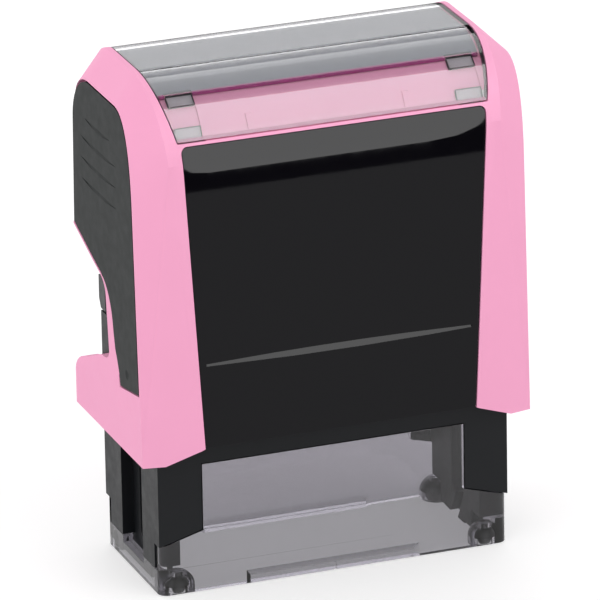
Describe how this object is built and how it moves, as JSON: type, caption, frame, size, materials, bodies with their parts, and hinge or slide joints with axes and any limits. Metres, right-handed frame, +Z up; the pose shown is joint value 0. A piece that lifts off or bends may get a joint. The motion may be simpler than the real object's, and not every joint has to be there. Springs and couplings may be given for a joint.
{
  "type": "self-inking stamp",
  "caption": "Self-inking text stamp: a sprung cap slides down over a frame and turns the die over, from an ink pad in a pull-out cartridge to the paper under a clear base.",
  "frame": {"origin": "on the table, under the middle of the stamp, on the plane of the four rubber feet", "axes": "+Z up, the way the cap springs back; -Y is the front with the black panel; +X along the imprint"},
  "size_m": [0.0552, 0.0282, 0.0715],
  "materials": {
    "frame_plastic": "fine matte texture",
    "smoky_clear": "smoky clear moulded plastic, polished",
    "window_clear": "faintly smoky clear moulded plastic, polished",
    "foot_rubber": "matte",
    "spring_steel": "drawn wire",
    "tray_plastic": "fine matte texture",
    "ink_foam": "ink-soaked foam",
    "ink_felt": "ink-soaked felt",
    "cap_pink": "satin",
    "panel_black": "high gloss",
    "grip_soft": "soft-touch matte",
    "card_paper": "smooth card",
    "holder_plastic": "moulded",
    "cushion_foam": "closed-cell foam",
    "plate_rubber": "laser-engraved rubber"
  },
  "bodies": {
    "frame": {"frame_body": "frame_plastic", "clear_base": "smoky_clear", "foot_front_left": "foot_rubber", "foot_front_right": "foot_rubber", "foot_back_left": "foot_rubber", "foot_back_right": "foot_rubber", "return_spring": "spring_steel"},
    "cartridge": {"ink_tray": "tray_plastic", "ink_reservoir": "ink_foam", "ink_pad": "ink_felt"},
    "cap": {"cap_shell": "cap_pink", "front_panel": "panel_black", "left_grip": "grip_soft", "right_grip": "grip_soft", "index_card": "card_paper"},
    "window": {"index_window": "window_clear"},
    "die": {"die_holder": "holder_plastic", "die_axle": "spring_steel", "plate_cushion": "cushion_foam", "text_plate": "plate_rubber"}
  },
  "joints": [
    {"name": "cap_press", "type": "slide", "parent": "frame", "child": "cap", "axis": [0, 0, -1], "range_m": [0, 0.0185], "stiffness_N_per_m": 500, "springref_m": -0.01, "deforming": ["return_spring"]},
    {"name": "die_turn", "type": "hinge", "parent": "cap", "child": "die", "pos_m": [0, 0, 0.024], "axis": [1, 0, 0], "range_deg": [0, 180.1]},
    {"name": "cartridge_pull", "type": "slide", "parent": "frame", "child": "cartridge", "axis": [0, 1, 0], "range_m": [0, 0.03]},
    {"name": "window_lift", "type": "slide", "parent": "cap", "child": "window", "axis": [0, 0, 1], "range_m": [0, 0.015]}
  ],
  "couplings": [
    {"joint": "die_turn", "follows": "cap_press", "rad_per_m": 169.82}
  ]
}
